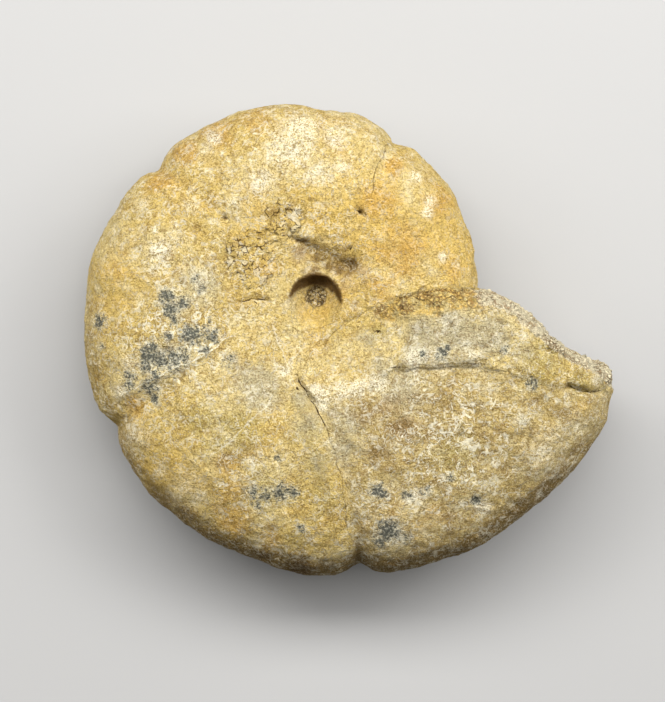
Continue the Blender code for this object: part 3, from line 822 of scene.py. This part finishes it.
def lines(x, y, paths):
    """Signed distance to the nearest of some paths, and how strongly that path shows here."""
    signed = np.full(len(x), LINE_REACH[1])
    shown = np.zeros(len(x))
    x, y = warp(x, y)
    for strength, path in paths:
        distance, left, place = follow(x, y, path)
        near = 1.0 - smoothstep(*LINE_REACH, distance)
        here = strength * near * from_ends(path, place)
        signed = np.where(here > shown, np.where(left, distance, -distance), signed)
        shown = np.maximum(here, shown)
    return signed, shown


def scattered(kind, chance):
    count, least, most = SCATTERED[kind]
    spots = []
    for _ in range(count):
        reach, around = SCATTER_REACH * math.sqrt(chance.random()), TWO_PI * chance.random()
        size, strength = chance.uniform(least, most), chance.uniform(*SCATTERED_STRENGTH)
        x, y = reach * math.cos(around) + SCATTER_CENTRE[0], reach * math.sin(around) + SCATTER_CENTRE[1]
        spots.append((x, y, size, strength))
    return spots


def patch_marks(x, y, upper):
    """The patches and spots that tint the stone. Only some kinds are on the lower flank too."""
    chance = random.Random(SCATTER_SEED)
    marks = {}
    for kind, patches in PATCHES.items():
        falloff = cone if kind == "blue" else soft
        marks[kind] = spread(x, y, patches, falloff) * upper
        if kind in SCATTERED:
            marks[kind] += spread(x, y, scattered(kind, chance), falloff) * ~upper
    return marks


def line_marks(x, y, upper):
    marks = {}
    for kind, paths in (("crack_and_shadow_line", CRACKS_AND_SHADOW_LINES), ("vein", VEINS)):
        signed, shown = lines(x, y, paths)
        marks.update({kind: signed, kind + "_shown": shown * upper})
    return marks


def rough_mark(x, y, upper):
    """How coarse the grain and the mottling are."""
    rough = spread(x, y, ROUGH_PATCHES) * upper + LOWER_ROUGH * ~upper
    return np.maximum(LEAST_ROUGH, rough) * (1.0 - spread(x, y, SMOOTH_PATCHES) * upper)


def panel_mark(x, y, upper):
    """Distance into the sunken panel, negative outside it."""
    edge = np.minimum(follow(x, y, PANEL_EDGE)[0], PANEL_REACH)
    signed = np.where(inside(x, y, PANEL_OUTLINE), edge, -edge)
    return np.where(upper, signed, -PANEL_REACH)


def venter_shade_mark(x, y, z):
    angles, shares = zip(*VENTER_SHADE_SHARES)
    share = np.interp(np.degrees(np.arctan2(y, x)), angles, shares)
    low = 1.0 - smoothstep(*VENTER_SHADE_HEIGHTS, np.abs(z))
    return share * low * (away(x, y, PIT_CENTRE) > PIT_SURROUNDS)


def pit_marks(x, y, upper):
    """Distance from the middle of the pit's hole, and the painted shade under its upper rim."""
    within = 1.0 - smoothstep(*PIT_SHADE_RIM, away(x, y, PIT_CENTRE))
    painted_shade_and_dirt = smoothstep(*PIT_SHADE_EDGE, away(x, y, PIT_SHADE_CENTRE)) * within * upper
    return {"hole_reach": np.minimum(away(x, y, HOLE_CENTRE), PIT_SURROUNDS), "pit_painted_shade": painted_shade_and_dirt}


def markings(points, side, crust, rind, crevice_shade):
    """What the material needs to know at every point."""
    x, y, z = points.T
    upper = side >= 0
    marks = {"crust": crust, "rind": rind}
    marks.update(patch_marks(x, y, upper))
    marks.update(line_marks(x, y, upper))
    marks.update(pit_marks(x, y, upper))
    marks["crevice_shade"] = crevice_shade + spread(x, y, GAP_SHADE_PATCHES) * upper
    marks["scaly"] = spread(x, y, SCALY_PATCHES) * upper
    marks["rough"] = rough_mark(x, y, upper)
    marks["panel"] = panel_mark(x, y, upper)
    marks["venter"] = venter_shade_mark(x, y, z)
    return marks


def lay_down(points):
    """From the coil's frame to where the fossil lies, in metres, inside the solid's box."""
    lean = np.array(Euler((math.radians(LEAN[0]), math.radians(LEAN[1]), 0.0)).to_matrix())
    placed = points @ lean.T + np.array(COIL_CENTRE)
    low = np.array(cad_low) / METRES
    high = np.array(cad_high) / METRES - BOX_CLEARANCE
    low[:2] += BOX_CLEARANCE
    return np.clip(placed, low, high) * METRES


def build_skin():
    points, angle, radius, side, triangles = bare_skin()
    normals = point_normals(points, triangles)
    crust = crust_mask(radius, angle, points)
    relief, crevice_shade = fine_relief(points, crust)
    places = lay_down(points + normals * relief[:, None])
    mesh = bpy.data.meshes.new("ammonite_skin")
    mesh.from_pydata(places.tolist(), [], triangles.tolist())
    for name, values in markings(points, side, crust, rind_mask(radius, angle), crevice_shade).items():
        mesh.attributes.new(name, "FLOAT", "POINT").data.foreach_set("value", values.astype(np.float32))
    mesh.shade_smooth()
    mesh.validate()
    skin = bpy.data.objects.new("ammonite_skin", mesh)
    bpy.context.scene.collection.objects.link(skin)
    return skin


# ---- The stone


class Nodes:
    """Short ways to make the nodes of one material. Every size is in millimetres on the object."""

    def __init__(self, material):
        material.use_nodes = True
        self.tree = material.node_tree
        self.shader = self.tree.nodes["Principled BSDF"]
        self.where = self.tree.nodes.new("ShaderNodeTexCoord").outputs["Object"]
        self.colour = None  # the base colour so far

    def node(self, kind, inputs, **settings):
        made = self.tree.nodes.new(kind)
        for name, value in settings.items():
            setattr(made, name, value)
        for name, value in inputs.items():
            if isinstance(value, bpy.types.NodeSocket):
                self.tree.links.new(value, made.inputs[name])
            else:
                made.inputs[name].default_value = value
        return made

    def mark(self, name):
        return self.node("ShaderNodeAttribute", {}, attribute_name=name).outputs["Fac"]

    def noise(self, size, detail=2.0, roughness=0.5, distortion=0.0):
        inputs = {"Vector": self.where, "Scale": 1.0 / (size * METRES), "Detail": detail}
        inputs.update({"Roughness": roughness, "Distortion": distortion})
        return self.node("ShaderNodeTexNoise", inputs).outputs["Fac"]

    def cells(self, size, feature="F1"):
        inputs = {"Vector": self.where, "Scale": 1.0 / (size * METRES)}
        return self.node("ShaderNodeTexVoronoi", inputs, feature=feature).outputs["Distance"]

    def math(self, operation, a, b=0.0, c=0.0):
        return self.node("ShaderNodeMath", {0: a, 1: b, 2: c}, operation=operation).outputs[0]

    def ramp(self, value, low, high):
        """0 below low, 1 above high, smooth between. With low above high it falls instead of rising."""
        inputs = {"Value": value, "From Min": low, "From Max": high}
        return self.node("ShaderNodeMapRange", inputs, interpolation_type="SMOOTHSTEP").outputs["Result"]

    def scaled(self, value, by, plus=0.0):
        return self.math("MULTIPLY_ADD", value, by, plus)

    def both(self, a, b, most=1.0):
        """The product of two shares, times most."""
        return self.scaled(self.math("MULTIPLY", a, b), most)

    def curls(self, size, width):
        """1 on thin curly lines, where a noise crosses its middle value."""
        off = self.math("ABSOLUTE", self.math("SUBTRACT", self.noise(size, 1.0, 0.5, 0.7), 0.5))
        return self.ramp(off, width, 0.35 * width)

    def mix(self, share, a, b, blend="MIX"):
        made = self.node("ShaderNodeMix", {0: share}, data_type="RGBA", blend_type=blend)
        for slot, value in ((6, a), (7, b)):
            if isinstance(value, bpy.types.NodeSocket):
                self.tree.links.new(value, made.inputs[slot])
            else:
                made.inputs[slot].default_value = (*value, 1.0)
        return made.outputs[2]

    def tint(self, colour, *shares, blend="MIX"):
        """Lays a colour over the base colour so far, by the product of some shares."""
        share = shares[0]
        for other in shares[1:]:
            share = self.math("MULTIPLY", share, other)
        self.colour = self.mix(share, self.colour, colour, blend)

    def bump(self, height, distance, under=None):
        inputs = {"Height": height, "Strength": 1.0, "Distance": distance * METRES}
        if under is not None:
            inputs["Normal"] = under
        return self.node("ShaderNodeBump", inputs).outputs["Normal"]


TAN = (0.635, 0.470, 0.155)
PALE_TAN = (0.710, 0.560, 0.240)
GOLD = (0.740, 0.510, 0.135)
OCHRE = (0.555, 0.345, 0.072)
WHITE = (0.900, 0.810, 0.550)
CHALK = (0.930, 0.880, 0.690)
ORANGE = (0.610, 0.350, 0.068)
OLIVE = (0.400, 0.320, 0.095)
GREY = (0.495, 0.435, 0.275)
PALE_GREY = (0.760, 0.690, 0.500)
GREY_TAN = (0.430, 0.335, 0.160)
PINK = (0.420, 0.300, 0.190)
BROWN = (0.215, 0.132, 0.043)
PAINTED_SHADE_AND_DIRT = (0.420, 0.350, 0.260)  # what painted shade and stains multiply it by
VENTER_SHADE_UMBER = (0.190, 0.120, 0.036)
CRUST_OCHRE = (0.830, 0.590, 0.180)
CRUST_ORANGE = (0.600, 0.350, 0.070)
CREVICE_BROWN = (0.230, 0.110, 0.024)
DARK_BROWN = (0.060, 0.032, 0.011)
PIT_SHADE_BROWN = (0.095, 0.046, 0.012)
GRAIN_SHADE = (0.400, 0.360, 0.220)  # what the dark grains multiply the stone's colour by
BLUE_GREY = (0.060, 0.063, 0.053)
PALE_BLUE = (0.240, 0.250, 0.205)

STONE_ROUGHNESS = (0.68, 0.95)
STONE_SHINE = 0.06
CRUMB_SIZE = 0.85
VEIN_WIDTH = 0.30
CRACK_AND_SHADOW_LINE_WIDTH = 0.24
WORM_SHAPE = (0.95, 0.080)  # size and width of the fine dark curls of the surface

# mark, tint, its largest share
PATCH_TINTS = (
    ("gold", GOLD, 0.70),
    ("orange", ORANGE, 0.70),
    ("olive", OLIVE, 0.60),
    ("grey", GREY, 0.85),
    ("pink", PINK, 0.70),
    ("brown_and_shade", BROWN, 0.80),
)


def ground_tints(n, middle):
    n.colour = n.mix(n.ramp(n.noise(14.0, 3.0), 0.42, 0.58), TAN, PALE_TAN)
    n.tint(OCHRE, n.ramp(middle, 0.46, 0.62), 0.30)
    n.tint(WHITE, n.ramp(middle, 0.42, 0.30), 0.28)


def panel_tints(n, on_panel):
    """The sunken panel is greyer than the rest, with brown and whitish mottling."""
    mottle = n.noise(3.2, 4.0, 0.62)
    n.tint(GREY_TAN, on_panel, 0.45)
    n.tint(BROWN, on_panel, n.ramp(mottle, 0.50, 0.64), 0.55)
    n.tint(WHITE, on_panel, n.ramp(mottle, 0.44, 0.32), 0.45)


def patch_tints(n, middle, small, rough, fine):
    """Patches with uneven edges, mottling that is stronger where the stone is rough, and whitish haze."""
    uneven = n.scaled(n.math("ADD", middle, n.scaled(small, 0.6)), 2.4, -0.92)
    for name, tint, most in PATCH_TINTS:
        n.tint(tint, n.ramp(n.both(n.mark(name), uneven), 0.10, 0.90), most)
    # The venter is browner, and darker with painted shade, most on its side away from the key light
    n.tint(VENTER_SHADE_UMBER, n.ramp(n.both(n.mark("venter"), uneven), -0.1, 0.8), 0.88)
    n.tint(BROWN, rough, n.ramp(n.noise(2.0, 4.0, 0.62), 0.54, 0.68), 0.50)
    n.tint(WHITE, rough, n.ramp(small, 0.55, 0.66), 0.45)
    haze = n.ramp(n.both(n.mark("white"), uneven), 0.08, 0.85)
    n.tint(CHALK, haze, n.ramp(fine, 0.38, 0.58), 0.85)


def specks(n, rough, fine):
    """Dark gaps between grains, in patches, then dark and pale specks."""
    gaps = n.ramp(n.cells(0.60, "DISTANCE_TO_EDGE"), 0.10, 0.02)
    in_patches = n.ramp(n.noise(1.7, 3.0), 0.44, 0.58)
    n.tint(GRAIN_SHADE, gaps, in_patches, 0.70, rough, blend="MULTIPLY")
    deep = n.scaled(rough, 0.45, 0.45)
    n.tint(GRAIN_SHADE, n.ramp(fine, 0.46, 0.39), deep, 1.15, blend="MULTIPLY")
    not_gold = n.scaled(n.mark("gold"), -0.75, 1.0)
    n.tint(WHITE, n.ramp(fine, 0.55, 0.62), not_gold, 0.50, deep)


def curly_veins(n, rough):
    some = n.scaled(rough, 0.40, 0.45)
    n.tint(BROWN, n.curls(*WORM_SHAPE), n.ramp(n.noise(1.1, 3.0), 0.42, 0.56), 0.80, some)
    n.tint(CHALK, n.curls(1.50, 0.065), n.ramp(n.noise(2.6, 3.0), 0.46, 0.58), 0.85, rough)
    n.tint(CHALK, n.curls(0.95, 0.065), n.ramp(n.noise(1.6, 3.0), 0.50, 0.60), 0.855, rough)


def painted_shade_and_dirt(n, on_panel):
    """Darkening over the specks, away from the panel, where the patches' mark is: partly painted shade along
    the trough, painted shade just above the pit and in small pits, and stains elsewhere.
    """
    ragged = n.scaled(n.noise(0.8, 3.0, 0.65), 1.6, -0.05)
    shown = n.ramp(n.both(n.mark("brown_and_shade"), ragged), 0.20, 0.85)
    n.tint(PAINTED_SHADE_AND_DIRT, shown, n.math("SUBTRACT", 1.0, on_panel), blend="MULTIPLY")


def sound_stone(n, fine):
    """Colour of the unbroken stone, built up from its broad tints to its finest specks."""
    middle, small = n.noise(4.0, 4.0, 0.6), n.noise(1.3, 4.0, 0.65)
    on_panel, rough = n.ramp(n.mark("panel"), -0.3, 0.8), n.mark("rough")
    ground_tints(n, middle)
    panel_tints(n, on_panel)
    patch_tints(n, middle, small, rough, fine)
    specks(n, rough, fine)
    curly_veins(n, rough)
    painted_shade_and_dirt(n, on_panel)


def crumbs(n):
    """Height of the broken stone's crumbs, from 0 to 1."""
    return n.ramp(n.cells(CRUMB_SIZE, "DISTANCE_TO_EDGE"), 0.0, 0.30)


def broken_stone(n, fine):
    """Ochre grains with dark gaps where the stone is broken, the gaps partly painted shade in low places,
    whitish along the outline.
    """
    sound = n.colour
    n.colour = n.mix(n.ramp(n.noise(1.3, 3.0, 0.6), 0.42, 0.56), CRUST_OCHRE, PALE_TAN)
    n.tint(CRUST_ORANGE, n.ramp(n.noise(2.0, 3.0), 0.50, 0.60), 0.55)
    rind = n.scaled(n.noise(1.3, 3.0), 0.8, n.mark("rind"))
    n.tint(PALE_GREY, n.ramp(rind, 0.50, 0.85), 0.90)
    n.tint(WHITE, n.ramp(fine, 0.52, 0.64), 0.55)
    n.tint(CREVICE_BROWN, n.ramp(crumbs(n), 0.55, 0.10), n.ramp(n.noise(2.6, 2.0), 0.44, 0.58), 0.72)
    # The gaps darken further where the crust's grains leave low places and in the gap patches: painted shade
    ragged = n.scaled(fine, 2.0, n.scaled(n.mark("crevice_shade"), 0.5))
    for size in (1.8, 4.0):
        ragged = n.math("ADD", n.noise(size, 2.0), ragged)
    n.tint(CREVICE_BROWN, n.ramp(ragged, 2.68, 2.88), 0.75)
    n.tint(DARK_BROWN, n.ramp(ragged, 2.86, 3.06), 0.80)
    edge = n.scaled(n.noise(1.2, 3.0, 0.6), 0.8, n.mark("crust"))
    n.colour = n.mix(n.scaled(n.ramp(edge, 0.60, 1.15), 0.90), sound, n.colour)


def blue_spots(n, fine):
    """Blue-grey mineral spots made of separate grains in a pale haze."""
    mark = n.mark("blue")
    ragged = n.scaled(n.noise(1.1, 3.0, 0.65), 1.4, -0.70)
    shown = n.ramp(n.math("ADD", mark, n.both(ragged, n.ramp(mark, 0.0, 0.15))), 0.05, 0.85)
    n.tint(CHALK, n.ramp(mark, 0.0, 0.5), n.ramp(fine, 0.46, 0.58), 0.50)
    n.tint(PALE_BLUE, shown, 0.78)
    n.tint(CHALK, shown, n.ramp(fine, 0.55, 0.64), 0.40)
    speckle = n.scaled(shown, 0.18, n.noise(0.42, 3.0, 0.65))
    n.tint(BLUE_GREY, n.ramp(speckle, 0.55, 0.70), n.ramp(shown, 0.02, 0.45), 0.86)


def line_strength(n, name, width):
    """1 on a thin line whose signed distance is marked, of uneven width and broken here and there."""
    stray = n.scaled(n.noise(0.8, 2.0), 0.7, -0.35)
    off = n.math("ABSOLUTE", n.math("ADD", n.mark(name), stray))
    wide = n.scaled(n.noise(1.7, 2.0), 2.4 * width, -0.7 * width)
    return n.both(n.ramp(n.math("DIVIDE", off, wide), 1.1, 0.5), n.mark(name + "_shown"))


def pit_painted_shade(n, fine):
    """Painted shade in the umbilicus: a brownish tint in its hole, partly the floor's own colour, a dark ring
    round the hole's edge and a dark tint under its upper rim; and pale grains and dark gaps between the
    grains of its floor.
    """
    reach = n.math("ADD", n.mark("hole_reach"), n.scaled(n.noise(1.2, 3.0), 1.0, -0.5))
    in_hole = n.ramp(reach, 2.4, 1.9)
    # A brownish tint in the hole: partly its floor's own colour, partly painted shade
    n.tint(BROWN, in_hole, 0.35)
    n.tint(CHALK, n.ramp(fine, 0.48, 0.60), in_hole, 0.60)
    n.tint(DARK_BROWN, n.ramp(n.cells(0.55), 0.45, 0.65), in_hole, 0.80)
    # A dark ring of painted shade round the hole's edge
    n.tint(DARK_BROWN, n.ramp(reach, 1.8, 2.1), n.ramp(reach, 2.6, 2.2), 0.20)
    # Painted shade under the upper rim, where the rim's shadow falls
    under_rim = n.scaled(n.noise(0.7, 3.0), 0.9, n.mark("pit_painted_shade"))
    n.tint(PIT_SHADE_BROWN, n.ramp(under_rim, 0.40, 1.35), 0.92)


def scales(n):
    """Small angular scales with dark edges of painted shade between them, some of them gone. Gives their
    heights, from 0 to 1.
    """
    cell = {"Vector": n.where, "Scale": 1.0 / (SCALE_SIZE * METRES)}
    tints = n.node("ShaderNodeTexVoronoi", cell).outputs["Color"]
    level = n.node("ShaderNodeSeparateColor", {"Color": tints}).outputs[0]
    there = n.ramp(n.scaled(n.noise(2.2, 2.0), 1.2, n.mark("scaly")), 0.95, 1.2)
    edge = n.ramp(n.cells(SCALE_SIZE, "DISTANCE_TO_EDGE"), 0.10, 0.02)
    n.tint(CHALK, n.ramp(level, 0.75, 0.90), there, 0.35)
    n.tint(DARK_BROWN, edge, there, n.ramp(n.noise(1.0, 2.0), 0.47, 0.55), 0.9)
    return n.both(n.ramp(level, 0.30, 0.80), there)


def fine_bumps(n, fine, scale_height, crack_and_shadow_line):
    """Relief too fine for the mesh: unevenness, curls, grit, grain, scales, crumbs and cracks."""
    bumps = (
        (n.noise(2.0, 4.0, 0.6), 0.7),
        (n.curls(*WORM_SHAPE), -0.13),
        (n.noise(0.75, 2.0, 0.6), 0.30),
        (fine, 0.42),
        (scale_height, 0.70),
        (n.both(crumbs(n), n.mark("crust")), 0.45),
        (n.math("SUBTRACT", 1.0, crack_and_shadow_line), 0.22),
    )
    normal = None
    for height, distance in bumps:
        normal = n.bump(height, distance, normal)
    return normal


def stone_material():
    material = bpy.data.materials.new("fossil_stone")
    n = Nodes(material)
    fine = n.noise(0.30, 3.0, 0.72)
    sound_stone(n, fine)
    scale_height = scales(n)
    broken_stone(n, fine)
    n.tint(CHALK, line_strength(n, "vein", VEIN_WIDTH), 0.85)
    blue_spots(n, fine)
    pit_painted_shade(n, fine)
    crack_and_shadow_line = line_strength(n, "crack_and_shadow_line", CRACK_AND_SHADOW_LINE_WIDTH)
    n.tint(DARK_BROWN, crack_and_shadow_line, 0.85)
    least, most = STONE_ROUGHNESS
    rough = n.node("ShaderNodeMapRange", {"Value": n.noise(1.1, 3.0), "To Min": least, "To Max": most})
    n.tree.links.new(n.colour, n.shader.inputs["Base Color"])
    n.tree.links.new(rough.outputs["Result"], n.shader.inputs["Roughness"])
    n.tree.links.new(fine_bumps(n, fine, scale_height, crack_and_shadow_line), n.shader.inputs["Normal"])
    n.shader.inputs["Specular IOR Level"].default_value = STONE_SHINE
    return material


# ---- Floor, light and camera

CAMERA_PLACE = (3.39, -10.38, 450.0)  # in the coil's frame
CAMERA_LENS = 116.5
SENSOR = 36.0
CAMERA_REACH = 20.0  # metres

FLOOR_SIZE = 6000.0
FLOOR_COLOUR = (0.40, 0.40, 0.40)
FLOOR_ROUGHNESS = 0.9

# name, direction to the light in the coil's frame, width, height, power
LIGHTS = (
    ("key", (0.06, 0.54, 0.84), 1300.0, 240.0, 9.5),
    ("front", (0.0, 0.10, 1.0), 400.0, 400.0, 0.9),
    ("left", (-0.80, 0.28, 0.60), 400.0, 400.0, 1.9),
    ("right", (0.85, 0.25, 0.55), 400.0, 400.0, 2.7),
)
LIGHT_DISTANCE = 700.0
LIGHT_COLOUR = (1.0, 0.985, 0.96)
WORLD_COLOUR = (0.95, 0.97, 1.0)
WORLD_STRENGTH = 0.09


def coil_matrix():
    lean = Euler((math.radians(LEAN[0]), math.radians(LEAN[1]), 0.0)).to_matrix().to_4x4()
    return Matrix.Translation(Vector(COIL_CENTRE) * METRES) @ lean


def add_camera():
    data = bpy.data.cameras.new("camera")
    data.lens = CAMERA_LENS
    data.sensor_width = SENSOR
    data.clip_end = CAMERA_REACH
    camera = bpy.data.objects.new("camera", data)
    camera.matrix_world = coil_matrix() @ Matrix.Translation(Vector(CAMERA_PLACE) * METRES)
    bpy.context.scene.collection.objects.link(camera)
    bpy.context.scene.camera = camera


def add_floor():
    bpy.ops.mesh.primitive_plane_add(size=FLOOR_SIZE * METRES, location=(0.0, 0.0, 0.0))
    floor = bpy.context.object
    floor.name = "floor"
    material = bpy.data.materials.new("floor")
    material.use_nodes = True
    shader = material.node_tree.nodes["Principled BSDF"]
    shader.inputs["Base Color"].default_value = (*FLOOR_COLOUR, 1.0)
    shader.inputs["Roughness"].default_value = FLOOR_ROUGHNESS
    floor.data.materials.append(material)


def add_light(name, direction, width, height, power):
    data = bpy.data.lights.new(name, "AREA")
    data.shape = "RECTANGLE"
    data.size = width * METRES
    data.size_y = height * METRES
    data.energy = power
    data.color = LIGHT_COLOUR
    light = bpy.data.objects.new(name, data)
    towards = (coil_matrix().to_3x3() @ Vector(direction)).normalized()
    light.location = towards * LIGHT_DISTANCE * METRES
    light.rotation_euler = towards.to_track_quat("Z", "Y").to_euler()
    bpy.context.scene.collection.objects.link(light)


def add_world():
    world = bpy.data.worlds.new("studio")
    bpy.context.scene.world = world
    world.use_nodes = True
    background = world.node_tree.nodes["Background"]
    background.inputs["Color"].default_value = (*WORLD_COLOUR, 1.0)
    background.inputs["Strength"].default_value = WORLD_STRENGTH


bpy.context.scene.view_settings.view_transform = "Standard"
skin = build_skin()
skin.data.materials.append(stone_material())
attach(skin, "root")
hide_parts("ammonite")
add_floor()
for light in LIGHTS:
    add_light(*light)
add_world()
add_camera()
